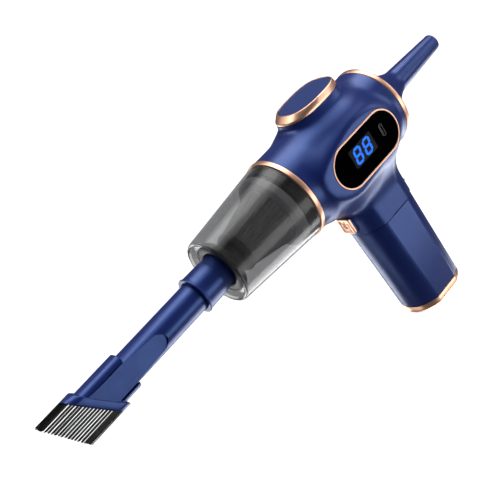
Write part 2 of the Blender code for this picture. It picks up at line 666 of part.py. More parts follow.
def build_brush():
    """A clip that grips the tube's rounded edges and leaves its flats bare, with a slanted band in front
    that holds the bristles."""
    band_rear = ROOT_X + BAND_LENGTH
    long = ROOT_X - 0.034
    socket = rounded_bar("brush_socket", 0.0068, SOCKET_HALF_Z, long, SOCKET_REAR_X, 0.0050, BLUE)
    band = rounded_bar("brush_band", BAND_HALF_Y, BAND_HALF_Z, long, SOCKET_REAR_X, 0.0052)
    boolean(band, slanted_cutter("band_rear", band_rear, forward=False))
    boolean(socket, band, "UNION")
    boolean(socket, slanted_cutter("brush_face", ROOT_X))
    sheath = rod("socket_cavity", TUBE_R + GAP, (long, 0, AXIS_Z), (SOCKET_REAR_X + PAST, 0, AXIS_Z))
    boolean(sheath, slanted_cutter("cavity_front", TIP_X - GAP))
    boolean(socket, sheath)
    # The windows over the tube's flats stop behind the band.
    window = box("socket_window", (long, -0.02, AXIS_Z - FLAT_HALF_Z - GAP),
                 (SOCKET_REAR_X + PAST, 0.02, AXIS_Z + FLAT_HALF_Z + GAP))
    boolean(window, slanted_cutter("window_front", band_rear + 0.0010))
    boolean(socket, window)
    mouth = (SLOT_HALF_Y, SLOT_HALF_Z, long - PAST, SOCKET_REAR_X + PAST, 0.0024)
    boolean(socket, rounded_bar("brush_mouth", *mouth))

    root = rounded_bar("bristles", BAND_HALF_Y - 0.0012, BAND_HALF_Z - 0.0008, long, SOCKET_REAR_X, 0.0040,
                       BLACK)
    boolean(root, slanted_cutter("root_rear", ROOT_X - GAP, forward=False))
    boolean(root, slanted_cutter("root_face", ROOT_X - GAP - 0.0014))
    boolean(root, rounded_bar("root_mouth", *mouth))

    def build(shape):
        for i in range(TUFTS):
            height = TUFT_PITCH * (i - (TUFTS - 1) / 2)
            if i in (0, TUFTS - 1):
                add_tuft(shape, 0.0, height, ROW_Y + ROW_HALF_Y)
            else:
                add_tuft(shape, ROW_Y, height, ROW_HALF_Y)
                add_tuft(shape, -ROW_Y, height, ROW_HALF_Y)

    tufts = add_object("bristle_tufts", mesh_from("bristle_tufts", build))
    boolean(tufts, slanted_cutter("bristle_ends", BRISTLE_TIP_X, slant=BRISTLE_SLANT))
    boolean(root, tufts, "UNION")


def add_tuft(shape, y, height, half_y):
    """One flat tuft of bristles, from its root in the slanted face to past the brush's tips."""
    root_x = ROOT_X - 0.0010 - math.tan(TIP_SLANT) * height
    low_x = BRISTLE_TIP_X - 0.030
    made = bmesh.ops.create_cube(shape, size=1.0)["verts"]
    bmesh.ops.scale(shape, vec=(root_x - low_x, 2 * half_y, TUFT_THICK), verts=made)
    bmesh.ops.translate(shape, vec=((root_x + low_x) / 2, y, AXIS_Z + height), verts=made)


def blower_profile(inset, steps=4):
    """From the tip down the tapered tube and the concave cone to the base band, moved in by inset."""
    points = [(BLOWER_TIP_R - inset, BLOWER_TIP_X), (BLOWER_NECK_R - inset, BLOWER_NECK_X)]
    base_x = REAR_X + 0.0046
    for i in range(1, steps + 1):
        share = i / steps
        points.append((BLOWER_NECK_R - inset + (BLOWER_BASE_R - BLOWER_NECK_R) * share ** 1.35,
                       BLOWER_NECK_X + (base_x - BLOWER_NECK_X) * share))
    return points + [(BLOWER_BASE_R - inset, 0.0320)]


def build_blower():
    outer, inner = blower_profile(0.0), blower_profile(0.0017)
    turned("blower_nozzle", outer + inner[::-1], BLUE)


def build_wires():
    """Two leads from the battery up to the motor."""
    x = 0.0120
    for name, y, finish in (("motor_lead_live", 0.0050, COPPER), ("motor_lead_return", -0.0050, BLACK)):
        route = bpy.data.curves.new(name, "CURVE")
        route.dimensions = "3D"
        route.bevel_depth = 0.0007
        route.bevel_resolution = 1
        route.use_fill_caps = True
        spline = route.splines.new("POLY")
        points = ((x, y, 0.0768), (x + 0.004, y, 0.0900), (x + 0.004, y, 0.1030), (x - 0.002, y, 0.1100),
                  (0.0095, y, 0.1190))
        spline.points.add(len(points) - 1)
        for point, place in zip(spline.points, points):
            point.co = (*place, 1.0)
        obj = bpy.data.objects.new(name, route)
        bpy.data.collections["hand_vacuum"].objects.link(obj)
        route.materials.append(material(finish))


def main():
    clear_scene()
    build_housing()
    build_screws()
    build_handle()
    build_trims()
    build_display()
    build_button()
    build_motor()
    build_ducts()
    build_cup()
    build_filter()
    build_collar()
    build_tube()
    build_brush()
    build_blower()
    build_wires()


main()
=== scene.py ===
"""Looks of the cordless hand vacuum: fine meshes, materials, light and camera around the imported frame.

Shapes are written in millimetres in the frame's own axes and turned into metres by add_mesh.
The air path runs along X at height AXIS, the handle stands on Z = 0 and the display faces -Y.
"""

import math

import bmesh
import bpy
import numpy as np
from mathutils import Matrix, Vector


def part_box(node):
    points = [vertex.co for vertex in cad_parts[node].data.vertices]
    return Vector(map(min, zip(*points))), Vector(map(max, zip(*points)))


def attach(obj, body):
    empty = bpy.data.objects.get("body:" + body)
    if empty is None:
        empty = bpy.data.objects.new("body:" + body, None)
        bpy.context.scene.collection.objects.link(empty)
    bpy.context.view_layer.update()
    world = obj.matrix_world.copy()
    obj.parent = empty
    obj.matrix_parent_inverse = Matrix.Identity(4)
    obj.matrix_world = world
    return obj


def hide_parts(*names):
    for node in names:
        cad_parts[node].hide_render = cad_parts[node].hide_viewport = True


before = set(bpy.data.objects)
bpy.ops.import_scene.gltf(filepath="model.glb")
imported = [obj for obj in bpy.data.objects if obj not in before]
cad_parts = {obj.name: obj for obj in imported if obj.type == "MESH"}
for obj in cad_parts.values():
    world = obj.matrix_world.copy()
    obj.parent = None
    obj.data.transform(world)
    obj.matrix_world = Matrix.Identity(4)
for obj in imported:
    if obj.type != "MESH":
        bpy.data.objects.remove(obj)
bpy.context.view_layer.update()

MM = 0.001
BOX = {node: (np.array(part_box(node)[0]) / MM, np.array(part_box(node)[1]) / MM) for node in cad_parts}

# Driving dimensions, most of them read from the frame
MIDDLES = {name: (low + high) / 2 for name, (low, high) in BOX.items()}
AXIS = float(MIDDLES["dust_cup"][2])  # height of the air path
SEAM = float(BOX["handle_sleeve"][1][2])  # top of the handle sleeve
CAP = float(BOX["base_cap"][1][2])  # top of the cap under the handle
FRONT, REAR = float(BOX["housing_right"][0][0]), float(BOX["housing_right"][1][0])
CROWN = float(BOX["housing_right"][1][2])  # flat top of the stub
PAD = float(-BOX["display_window"][0][1])  # the pads' outer faces, from Y = 0
BUTTON_Z = MIDDLES["power_button"][2]
BARREL = 30.5  # the barrel's radius

# The handle's section: a round nose in front, flat sides, and a narrower round back behind a step
NOSE_X, NOSE_RADIUS = -3.4, 20.2
BACK_X, BACK_RADIUS = 7.3, 18.7
STEP_X, STEP_REAR_X, HANDLE_HALF_Y = 11.2, 12.8, 19.2
NOSE_LEAN = 3.3  # the nose's lean forward at the seam


# ------------ outlines

def arc(centre, radius, start, end, steps):
    """Points of an arc about (centre, 0), angles in degrees."""
    turns = np.radians(np.linspace(start, end, steps + 1))
    return np.c_[centre + radius * np.cos(turns), radius * np.sin(turns)]


def circle(radius, steps):
    return arc(0, radius, 0, 360, steps)[:-1]


def softened(points, radii, steps=4, closed=True):
    """A polyline whose corners are replaced by small curves that start radii away from them."""
    points = [np.array(point, float) for point in points]
    count = len(points)
    radii = radii if hasattr(radii, "__len__") else [radii] * count
    out = []
    for i, point in enumerate(points):
        if radii[i] == 0 or (not closed and i in (0, count - 1)):
            out.append(point)
            continue
        back, on = points[i - 1] - point, points[(i + 1) % count] - point
        reach = min(radii[i], 0.49 * np.linalg.norm(back), 0.49 * np.linalg.norm(on))
        a = point + back / np.linalg.norm(back) * reach
        b = point + on / np.linalg.norm(on) * reach
        for t in np.linspace(0, 1, steps + 1):
            out.append((1 - t) ** 2 * a + 2 * t * (1 - t) * point + t * t * b)
    return np.array(out)


def moved_in(points, inset):
    """A closed anticlockwise outline moved inwards by inset."""
    if inset == 0:
        return points
    ahead = np.roll(points, -1, 0) - points
    ahead /= np.linalg.norm(ahead, axis=1)[:, None]
    along = ahead + np.roll(ahead, 1, 0)
    along /= np.linalg.norm(along, axis=1)[:, None]
    return points + inset * np.c_[-along[:, 1], along[:, 0]]


def handle_outline():
    """The handle's section in XY, anticlockwise from the right end of its back."""
    nose_turn = 180 - math.degrees(math.asin(HANDLE_HALF_Y / NOSE_RADIUS))
    back_turn = math.degrees(math.acos((STEP_REAR_X - BACK_X) / BACK_RADIUS))
    back = arc(BACK_X, BACK_RADIUS, -back_turn, back_turn, 40)
    nose = arc(NOSE_X, NOSE_RADIUS, nose_turn, 360 - nose_turn, 48)
    corners = np.vstack([back, [(STEP_X, HANDLE_HALF_Y)], nose, [(STEP_X, -HANDLE_HALF_Y)]])
    soft = np.zeros(len(corners))
    soft[[0, 40]] = 0.45  # the back's ends
    soft[[41, 91]] = 0.6  # the flats' rear ends, at the steps
    soft[[42, 89, 90]] = 0.5, 0.5, 0.6  # the flats' front ends, where the nose starts
    return softened(corners, soft, 3)


def nose_lean(z):
    """How far the handle's nose comes forward at a height: nothing at the cap, NOSE_LEAN at the seam."""
    return NOSE_LEAN * np.clip((z - CAP) / (SEAM - CAP), 0, 1.2)


def oval(centre, half_x, half_y, power=2.7, steps=120):
    """A rounded oval between an ellipse and a rectangle."""
    turns = np.linspace(0, 2 * np.pi, steps, endpoint=False)
    c, s = np.cos(turns), np.sin(turns)
    return np.c_[centre + half_x * np.sign(c) * np.abs(c) ** (2 / power),
                 half_y * np.sign(s) * np.abs(s) ** (2 / power)]


def slot(centre_x, centre_z, half_x, half_z, steps=32):
    """A slot with round ends, long side along the first axis."""
    straight = half_x - half_z
    right = arc(straight, half_z, -90, 90, steps)
    left = arc(-straight, half_z, 90, 270, steps)
    return np.vstack([right, left]) + (centre_x, centre_z)


def scaled(points, share):
    """An outline shrunk towards its middle."""
    middle = (points.min(0) + points.max(0)) / 2
    return middle + (points - middle) * share


def rounded_rectangle(half_a, half_b, corner, steps=5):
    """A rectangle about the origin with round corners."""
    corners = []
    for i, (a, b) in enumerate(((1, 1), (-1, 1), (-1, -1), (1, -1))):
        turns = np.radians(np.linspace(90 * i, 90 * i + 90, steps + 1))
        corners.append(np.c_[a * (half_a - corner) + corner * np.cos(turns),
                             b * (half_b - corner) + corner * np.sin(turns)])
    return np.vstack(corners)


# ------------ meshes

def add_mesh(name, verts, faces, material, body, nodes=(), slot_name=None, sharp=40):
    """A piece from points in millimetres, riding on a body and standing for CAD nodes."""
    mesh = bpy.data.meshes.new(name)
    mesh.from_pydata([tuple(v) for v in np.asarray(verts, float) * MM], [], faces)
    shape = bmesh.new()
    shape.from_mesh(mesh)
    bmesh.ops.remove_doubles(shape, verts=shape.verts, dist=1e-7)
    bmesh.ops.recalc_face_normals(shape, faces=shape.faces)
    shape.to_mesh(mesh)
    shape.free()
    obj = bpy.data.objects.new(name, mesh)
    bpy.context.scene.collection.objects.link(obj)
    return finished(obj, material, body, nodes, sharp)


def finished(obj, material, body, nodes=(), sharp=40):
    """Gives a piece its material, body and CAD nodes. With no body it is only raw material."""
    if body is None:
        return obj
    coated(obj, material, sharp)
    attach(obj, body)
    if nodes:
        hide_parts(*nodes)
    return obj


def coated(obj, material, sharp):
    """Gives a piece its material, and smooth shading between edges that are sharper than an angle."""
    obj.data.materials.clear()
    obj.data.materials.append(material)
    obj.data.shade_smooth()
    obj.data.set_sharp_from_angle(angle=math.radians(sharp))


def skin(rings, loop=False):
    """Points and faces of a surface through rings with the same number of points. Its ends are capped,
    unless it loops back to the first ring."""
    count, depth = len(rings[0]), len(rings)
    faces = []
    for level in range(depth if loop else depth - 1):
        a, b = level * count, (level + 1) % depth * count
        faces += [(a + i, a + (i + 1) % count, b + (i + 1) % count, b + i) for i in range(count)]
    if not loop:
        faces.append(tuple(range(count))[::-1])
        faces.append(tuple(range((depth - 1) * count, depth * count)))
    return np.vstack(rings), faces


def upright(outline, height):
    """An outline in XY at a height."""
    return np.c_[outline, np.full(len(outline), height)]


def sideways(outline, y):
    """An outline in XZ at a place along Y."""
    return np.c_[outline[:, 0], np.full(len(outline), y), outline[:, 1]]


def across(outline, x, height=AXIS):
    """An outline in YZ about a height, at a place along X."""
    return np.c_[np.full(len(outline), x), outline[:, 0], outline[:, 1] + height]


def on_front(outline, x):
    """An outline in YZ about the button's middle, at a place along X."""
    return across(outline, x, BUTTON_Z)


def stack(outline, levels, place=upright):
    """Rings of one outline, moved in and placed by levels of (inset, height)."""
    return [place(moved_in(outline, inset), height) for inset, height in levels]


def edge_levels(low, high, radius, steps=4):
    """Levels (inset, height) of a wall from low up to high with both its edges rounded."""
    turns = np.linspace(0, np.pi / 2, steps + 1)
    start = [(radius * (1 - math.sin(t)), low + radius * (1 - math.cos(t))) for t in turns]
    end = [(radius * (1 - math.cos(t)), high - radius * (1 - math.sin(t))) for t in turns]
    return start + end


def lathe(name, profile, material, body, nodes=(), slot_name=None, sides=128, loop=True, sharp=40, wave=None):
    """A turned piece about the air path, from (x, radius) points. wave(x, r, turn) may change the radius."""
    turns = np.linspace(0, 2 * np.pi, sides, endpoint=False)
    rings = []
    for x, radius in profile:
        reach = np.full(sides, float(radius)) if wave is None else wave(x, radius, turns)
        rings.append(np.c_[np.full(sides, x), reach * np.sin(turns), AXIS + reach * np.cos(turns)])
    verts, faces = skin(rings, loop=loop)
    return add_mesh(name, verts, faces, material, body, nodes, slot_name, sharp)


def solve(obj):
    """Applies a piece's modifiers."""
    graph = bpy.context.evaluated_depsgraph_get()
    mesh = bpy.data.meshes.new_from_object(obj.evaluated_get(graph))
    obj.modifiers.clear()
    old, obj.data = obj.data, mesh
    bpy.data.meshes.remove(old)
    return obj


def cut(obj, other, operation="DIFFERENCE"):
    """A Boolean, applied at once; the other object is used up."""
    step = obj.modifiers.new("cut", "BOOLEAN")
    step.operation, step.object, step.solver = operation, other, "EXACT"
    solve(obj)
    bpy.data.objects.remove(other)
    if not obj.data.polygons:
        raise ValueError(obj.name + ": the cut left nothing")
    return obj


def tool(rings):
    """A closed solid for cut."""
    return add_mesh("tool", *skin(rings), None, None)


def bevelled(obj, width, segments=2):
    """Rounds a piece's edges of 40 degrees and more."""
    step = obj.modifiers.new("edges", "BEVEL")
    step.width, step.segments, step.limit_method = width * MM, segments, "ANGLE"
    step.angle_limit = math.radians(40)
    step.harden_normals = False
    return solve(obj)


# ------------ materials

class Nodes:
    """A short way to build a Principled material with procedural detail in object space."""

    def __init__(self, name, colour, roughness, metallic=0.0, **values):
        self.material = bpy.data.materials.new(name)
        self.material.use_nodes = True
        self.tree = self.material.node_tree
        self.shader = self.tree.nodes["Principled BSDF"]
        self.set("Base Color", (*colour, 1))
        self.set("Roughness", roughness)
        self.set("Metallic", metallic)
        for key, value in values.items():
            self.set(key.replace("_", " "), value)
        self.place = self.node("ShaderNodeTexCoord").outputs["Object"]
        self.material.diffuse_color = (*colour, 1)

    def set(self, socket, value):
        self.shader.inputs[socket].default_value = value

    def node(self, kind, **values):
        made = self.tree.nodes.new(kind)
        for key, value in values.items():
            setattr(made, key, value)
        return made

    def noise(self, size_mm, stretch=None):
        """Noise whose features are about size_mm across, from 0 to 1."""
        made = self.node("ShaderNodeTexNoise")
        made.inputs["Scale"].default_value = 1 / (size_mm * MM)
        made.inputs["Detail"].default_value = 3.0
        source = self.place
        if stretch:
            mapping = self.node("ShaderNodeMapping")
            mapping.inputs["Scale"].default_value = stretch
            self.tree.links.new(source, mapping.inputs["Vector"])
            source = mapping.outputs["Vector"]
        self.tree.links.new(source, made.inputs["Vector"])
        return made.outputs["Fac"]

    def span(self, source, low, high):
        """Spreads the middle of a noise, where most of it lies, over low..high."""
        made = self.node("ShaderNodeMapRange")
        made.inputs["From Min"].default_value = 0.3
        made.inputs["From Max"].default_value = 0.7
        made.inputs["To Min"].default_value = low
        made.inputs["To Max"].default_value = high
        self.tree.links.new(source, made.inputs["Value"])
        return made.outputs["Result"]

    def vary_roughness(self, size_mm, low, high, **more):
        varied = self.span(self.noise(size_mm, **more), low, high)
        self.tree.links.new(varied, self.shader.inputs["Roughness"])

    def vary_colour(self, size_mm, first, second):
        mix = self.node("ShaderNodeMix", data_type="RGBA")
        mix.inputs["A"].default_value = (*first, 1)
        mix.inputs["B"].default_value = (*second, 1)
        self.tree.links.new(self.span(self.noise(size_mm), 0, 1), mix.inputs["Factor"])
        self.tree.links.new(mix.outputs["Result"], self.shader.inputs["Base Color"])

    def grain(self, size_mm, depth_mm, strength=0.4, **more):
        """A fine bump."""
        bump = self.node("ShaderNodeBump")
        bump.inputs["Strength"].default_value = strength
        bump.inputs["Distance"].default_value = depth_mm * MM
        self.tree.links.new(self.noise(size_mm, **more), bump.inputs["Height"])
        self.tree.links.new(bump.outputs["Normal"], self.shader.inputs["Normal"])


def blue_plastic(name, first, second, low, high):
    """Painted plastic whose sheen is blue too."""
    made = Nodes(name, first, 0.3, 0.0, Specular_IOR_Level=1.0, Specular_Tint=(0.26, 0.42, 1.0, 1))
    made.vary_colour(9, first, second)
    made.vary_roughness(5, low, high)
    made.grain(0.5, 0.002, 0.15)
    return made.material


def rose_gold():
    made = Nodes("rose_gold", (0.82, 0.47, 0.32), 0.2, 1.0)
    made.vary_colour(4, (0.83, 0.48, 0.33), (0.78, 0.44, 0.30))
    made.vary_roughness(2.5, 0.32, 0.39)
    made.grain(0.4, 0.001, 0.1, stretch=(1, 1, 8))
    return made.material


def smoke():
    """The cup's tinted clear plastic: a weak lens, so that the filter shows through, under a thin gloss."""
    made = Nodes("smoke_plastic", (0.39, 0.39, 0.395), 0.05, 0.0, Transmission_Weight=1.0, IOR=1.16,
                 Coat_Weight=0.5, Coat_Roughness=0.22)
    made.vary_roughness(12, 0.08, 0.14)
    return made.material


def matte(name, colour, low, high, grain_mm=0.3, depth=0.01, **values):
    """Any plain plastic, rubber, cloth or painted surface, with its roughness from low to high."""
    made = Nodes(name, colour, low, 0.0, **values)
    made.vary_colour(3, colour, tuple(0.8 * c for c in colour))
    made.vary_roughness(2, low, high)
    made.grain(grain_mm, depth)
    return made.material


def metal(name, colour, low, high):
    made = Nodes(name, colour, low, 1.0)
    made.vary_colour(2, colour, tuple(0.85 * c for c in colour))
    made.vary_roughness(1.5, low, high, stretch=(1, 6, 1))
    made.grain(0.2, 0.002)
    return made.material


def glowing():
    made = Nodes("lit_digits", (0.01, 0.05, 0.30), 0.5, Specular_IOR_Level=0.1)
    made.set("Emission Color", (0.006, 0.17, 0.90, 1))
    made.set("Emission Strength", 1.0)
    made.vary_roughness(1, 0.3, 0.4)
    return made.material


BLUE = blue_plastic("blue_plastic", (0.0065, 0.0150, 0.115), (0.0060, 0.0138, 0.106), 0.30, 0.36)
BLUE_SATIN = blue_plastic("blue_satin", (0.013, 0.027, 0.125), (0.012, 0.025, 0.116), 0.42, 0.50)
GOLD = rose_gold()
SMOKE = smoke()
GLASS = matte("display_gloss", (0.001, 0.001, 0.0012), 0.05, 0.09, 4, 0.001, Specular_IOR_Level=0.0)
DIM = matte("display_mask", (0.016, 0.017, 0.018), 0.16, 0.22, 0.5, 0.001, Specular_IOR_Level=0.02)
DIGITS = glowing()
BLACK = matte("black_plastic", (0.012, 0.012, 0.013), 0.35, 0.5)
GREY = matte("grey_plastic", (0.42, 0.42, 0.43), 0.3, 0.42)
NYLON = matte("nylon_bristle", (0.008, 0.008, 0.008), 0.28, 0.4, 0.15, 0.004)
FILTER = matte("filter_cloth", (0.24, 0.24, 0.242), 0.8, 0.95, 0.5, 0.02)
RUBBER = matte("seal_rubber", (0.02, 0.02, 0.02), 0.6, 0.75)
STEEL = metal("steel", (0.62, 0.62, 0.64), 0.22, 0.34)
PORT = metal("port_shell", (0.20, 0.20, 0.21), 0.35, 0.45)
MOTOR = metal("motor_shell", (0.50, 0.50, 0.52), 0.3, 0.45)
CELL = matte("cell_sleeve", (0.05, 0.30, 0.14), 0.25, 0.35)
BOARD = matte("circuit_board", (0.015, 0.13, 0.05), 0.35, 0.5)
LEAD_RED = matte("lead_red", (0.40, 0.03, 0.02), 0.4, 0.5)


# ------------ housing

def smooth_min(a, b, blend):
    """The lesser of two distances, rounded where they are within blend of each other."""
    share = np.maximum(blend - np.abs(a - b), 0) / blend
    return np.minimum(a, b) - share * share * blend / 4


def smooth_max(a, b, blend):
    return -smooth_min(-a, -b, blend)


def ramp(value, low, high):
    """0 below low, 1 above high, smooth between."""
    share = np.clip((value - low) / (high - low), 0, 1)
    return share * share * (3 - 2 * share)


def slot_distance(x, z, half_x, half_z):
    return np.hypot(np.maximum(np.abs(x) - (half_x - half_z), 0), z) - half_z


PANEL_X, PANEL_Z = map(float, MIDDLES["display_bezel"][[0, 2]])
PANEL_HALF_X, PANEL_HALF_Z = 32.7, 15.5
STUB_X, STUB_HALF_X, STUB_HALF_Y, STUB_POWER = -4.2, 24.2, 17.6, 2.6


def housing_distance(p):
    """Distance to the right half of the housing's outer form, negative inside. The form runs past its
    flat ends, where the mesh gets trimmed."""
    x, y, z = p[:, 0], np.abs(p[:, 1]), p[:, 2]
    rise = z - AXIS
    proud = 0.7  # how far the column stands out from the sleeve below it

    # Column: the handle's section
    from_nose = x - NOSE_X + nose_lean(z)
    nose = np.where(from_nose < 0, np.hypot(from_nose, y), y) - (NOSE_RADIUS + proud)
    back = np.where(x > BACK_X, np.hypot(x - BACK_X, y), y) - (BACK_RADIUS + proud)
    flat = y - (HANDLE_HALF_Y + proud)
    step = ((x - STEP_X) + flat) / math.sqrt(2) - 0.3
    section = smooth_min(smooth_max(smooth_max(flat, nose, 1.2), step, 0.8), smooth_max(back, nose, 1.2), 0.5)
    column = smooth_max(section, rise + 6, 6)

    # Side pads: flanks that flare out towards the barrel
    flare = 0.62
    grown = 2.4 + flare * smooth_min(PAD - y, 16.0, 10.0)
    pad = slot_distance(x - PANEL_X, z - PANEL_Z, PANEL_HALF_X, PANEL_HALF_Z) - grown
    pad = smooth_max(pad / math.sqrt(1 + flare * flare), y - PAD, 6.5)

    # Stub: an oval that spreads downwards, most of all to its sides
    from_middle = x - STUB_X
    ratio = np.abs(from_middle / STUB_HALF_X) ** STUB_POWER + np.abs(y / STUB_HALF_Y) ** STUB_POWER
    ratio = np.maximum(ratio ** (1 / STUB_POWER), 1e-3)
    sideways_share = y * y / (from_middle * from_middle + y * y + 1)
    spread = 0.15 + 0.55 * sideways_share
    stub = np.hypot(from_middle, y) * (1 - 1 / ratio) - spread * (CROWN - z)
    stub = smooth_max(stub / np.sqrt(1 + spread * spread), -(rise - 8), 6)

    # The fold between pad, column and barrel is wide in front, and widest under the chin.
    core = smooth_min(pad, column, 15.0)
    barrel = np.hypot(y, rise) - BARREL
    behind = ramp(x, -10, 12)
    above = ramp(rise, -20, 10)
    under_chin = ramp(-x, 8, 26) * (1 - above)
    crest = ramp(rise, 6, 22)
    blend = (1 - behind) * (13 + 3 * above - 9 * crest + 5 * under_chin) + behind * (4.5 - 0.5 * above)
    whole = smooth_min(core, barrel, blend)
    # The stub keeps its outline at the top and fills out towards the barrel.
    below = ramp(CROWN - z, -2, 12)
    whole = smooth_min(whole, stub, 1.0 + below * ((1 - behind) * 10 + behind * 12))
    # The barrel keeps its own round ends.
    near_end = np.maximum(ramp(-x, -FRONT - 12, -FRONT), ramp(x, REAR - 6, REAR))
    whole = whole * (1 - near_end) + barrel * near_end
    whole = smooth_max(whole, y - PAD, 1.5)
    past = 2.5  # how far the form runs past each end
    for beyond in (FRONT - past - x, x - REAR - past, SEAM - past - z, z - CROWN - past, p[:, 1] - past):
        whole = np.maximum(whole, beyond)
    return whole


def surface_net(distance, low, high, step):
    """Quads on the zero level of a distance field, drawn onto the level by a few Newton steps."""
    axes = [np.arange(a, b + step, step) for a, b in zip(low, high)]
    grid = np.stack(np.meshgrid(*axes, indexing="ij"), -1)
    shape = grid.shape[:3]
    field = distance(grid.reshape(-1, 3)).reshape(shape)
    cells = tuple(n - 1 for n in shape)
    total, count = np.zeros(cells + (3,)), np.zeros(cells)
    for axis in range(3):
        for u in (0, 1):
            for v in (0, 1):
                shift = [u, v]
                start = [slice(None)] * 3
                offset = np.zeros(3)
                for other in range(3):
                    if other == axis:
                        start[other] = slice(0, cells[other])
                    else:
                        offset[other] = shift.pop(0)
                        start[other] = slice(int(offset[other]), cells[other] + int(offset[other]))
                end = list(start)
                end[axis] = slice(1, cells[axis] + 1)
                a, b = field[tuple(start)], field[tuple(end)]
                crossed = (a < 0) != (b < 0)
                share = np.where(crossed, a / np.where(crossed, a - b, 1), 0)
                for other in range(3):
                    total[..., other] += crossed * (share if other == axis else offset[other])
                count += crossed
    live = count > 0
    index = np.full(cells, -1)
    index[live] = np.arange(live.sum())
    corner = np.stack(np.meshgrid(*[a[:-1] for a in axes], indexing="ij"), -1)
    verts = corner[live] + step * total[live] / count[live][:, None]
    faces = []
    for axis in range(3):
        b, c = (axis + 1) % 3, (axis + 2) % 3
        inner = [slice(1, cells[i]) for i in range(3)]
        inner[axis] = slice(0, cells[axis])
        far = list(inner)
        far[axis] = slice(1, cells[axis] + 1)
        first, second = field[tuple(inner)] < 0, field[tuple(far)] < 0
        places = np.argwhere(first != second)
        outward = first[first != second]
        places += [inner[i].start for i in range(3)]
        quad = []
        for db, dc in ((1, 1), (0, 1), (0, 0), (1, 0)):
            cell = places.copy()
            cell[:, b] -= db
            cell[:, c] -= dc
            quad.append(index[cell[:, 0], cell[:, 1], cell[:, 2]])
        quad = np.stack(quad, 1)
        quad[~outward] = quad[~outward][:, ::-1]
        faces.append(quad)
    for _ in range(3):
        here = distance(verts)
        slope = np.stack([(distance(verts + d) - distance(verts - d)) / 0.1 for d in 0.05 * np.eye(3)], 1)
        move = here[:, None] * slope / np.maximum((slope ** 2).sum(1), 0.2)[:, None]
        verts = verts - np.clip(move, -0.4 * step, 0.4 * step)
    return verts, np.vstack(faces)


def trimmed(shape, point, normal):
    """Cuts away what lies in front of a plane, and returns the new boundary's edges."""
    everything = shape.verts[:] + shape.edges[:] + shape.faces[:]
    bmesh.ops.bisect_plane(shape, geom=everything, dist=1e-6, plane_co=point, plane_no=normal,
                           clear_outer=True)
    normal, point = Vector(normal), Vector(point)
    return [e for e in shape.edges if e.is_boundary
            and all(abs((v.co - point).dot(normal)) < 1e-5 for v in e.verts)]


def rolled(shape, edges, normal, radius, depth, steps=3):
    """Rounds a cut edge over towards the inside and gives it a wall of some depth."""
    shape.normal_update()
    normal = Vector(normal)
    inward = {}
    for vert in dict.fromkeys(v for e in edges for v in e.verts):
        out = vert.normal - normal * vert.normal.dot(normal)
        inward[vert] = -out.normalized()
    start = {v: v.co.copy() for v in inward}
    # The last of the surface curls over: it is pulled back by the radius, then goes round and in.
    for vert, place in start.items():
        vert.co = place - normal * radius
    turns = [math.pi / 2 * (i + 1) / steps for i in range(steps)]
    paths = [(radius * (1 - math.cos(t)), radius * (math.sin(t) - 1)) for t in turns] + [(depth, 0.0)]
    current, source = edges, {v: v for v in inward}
    for inset, out in paths:
        made = bmesh.ops.extrude_edge_only(shape, edges=current)["geom"]
        verts = [g for g in made if isinstance(g, bmesh.types.BMVert)]
        current = [g for g in made if isinstance(g, bmesh.types.BMEdge)
                   and all(v in verts for v in g.verts)]
        last = {tuple(round(c, 9) for c in v.co): v for v in source}
        source = {v: source[last[tuple(round(c, 9) for c in v.co)]] for v in verts}
        for vert, root in source.items():
            vert.co = start[root] + inward[root] * inset + normal * out
        current = [e for e in current if e.is_boundary]


def build_housing():
    """Both shells, from one distance field, parted on the centre plane."""
    step = 1.0
    verts, faces = surface_net(housing_distance, (FRONT - 4, -PAD - 3, SEAM - 4),
                               (REAR + 4, 4, CROWN + 4), step)
    whole = add_mesh("housing", verts, [tuple(map(int, f)) for f in faces], None, None)
    button_pocket = rounded_rectangle(6.45, 6.7, 1.4)
    cut(whole, tool([on_front(button_pocket, x) for x in (-40, -19.5)]))
    sides = {1: whole, -1: bpy.data.objects.new("mirrored", whole.data.copy())}
    bpy.context.scene.collection.objects.link(sides[-1])
    panel_pocket = slot(PANEL_X, PANEL_Z, PANEL_HALF_X + 0.12, PANEL_HALF_Z + 0.12)
    cut(sides[1], tool(stack(panel_pocket, ((0, -PAD - 5), (0, -PAD + 2.6)), sideways)))
    for i in range(1, 5):
        screw = f"shell_screw_{i}"
        recess = circle(2.9, 28) + MIDDLES[screw][[0, 2]]
        cut(sides[-1], tool(stack(recess, ((0, 2.3 - BOX[screw][1][1]), (0, -PAD - 5)), sideways)))
    gap, wall = 0.06, 1.6
    # A point and the normal of each plane that the shells are trimmed to, and the radius of the edge there
    planes = (((0, 0, SEAM + 0.25), (0, 0, -1), 0.6), ((0, 0, CROWN), (0, 0, 1), 0.3),
              ((FRONT, 0, 0), (-1, 0, 0), 0.3), ((REAR, 0, 0), (1, 0, 0), 0.3),
              ((0, -gap, 0), (0, 1, 0), 0.12))
    for side, name in ((1, "housing_right"), (-1, "housing_left")):
        obj = sides[side]
        obj.name = name + "_skin"
        shape = bmesh.new()
        shape.from_mesh(obj.data)
        for point, normal, radius in planes:
            edges = trimmed(shape, Vector(point) * MM, normal)
            rolled(shape, edges, normal, radius * MM, wall * MM)
        if side < 0:
            for vert in shape.verts:
                vert.co.y = -vert.co.y
            bmesh.ops.reverse_faces(shape, faces=shape.faces)
        shape.to_mesh(obj.data)
        shape.free()
        finished(obj, BLUE, "body", [name], 50)


# ------------ handle

